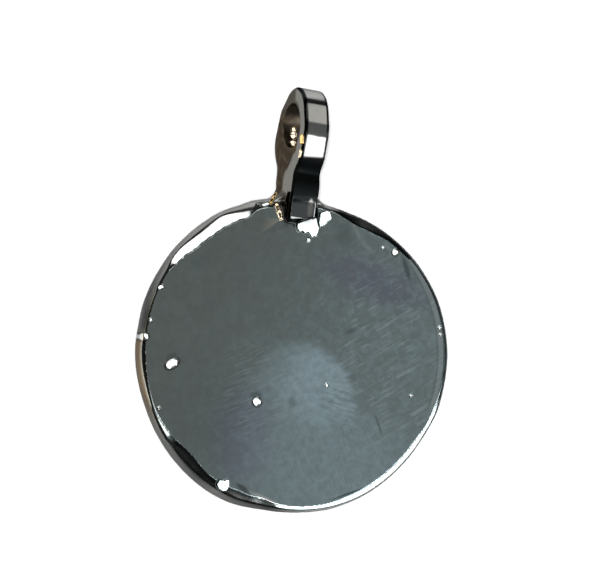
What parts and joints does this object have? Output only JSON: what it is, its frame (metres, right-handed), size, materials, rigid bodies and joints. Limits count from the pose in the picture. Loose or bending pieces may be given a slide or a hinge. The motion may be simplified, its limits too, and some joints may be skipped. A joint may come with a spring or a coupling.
{
  "type": "soccer ball pendant",
  "caption": "Round cast metal pendant with a flat polished back, a low ball relief on its front and a fixed bail with a round eye for a chain.",
  "frame": {"origin": "centre of the worn flat on the ball's middle panel, which the pendant rests on", "axes": "+Z out of the flat back, +Y from the disc's centre towards the bail, +X along the eye's bore but for the bail's small turn"},
  "size_m": [0.0164, 0.0219, 0.005],
  "materials": {
    "metal": "mirror polished, dark plated, with fine scratches and casting pits"
  },
  "bodies": {
    "root": {"pendant": "metal"}
  },
  "joints": []
}
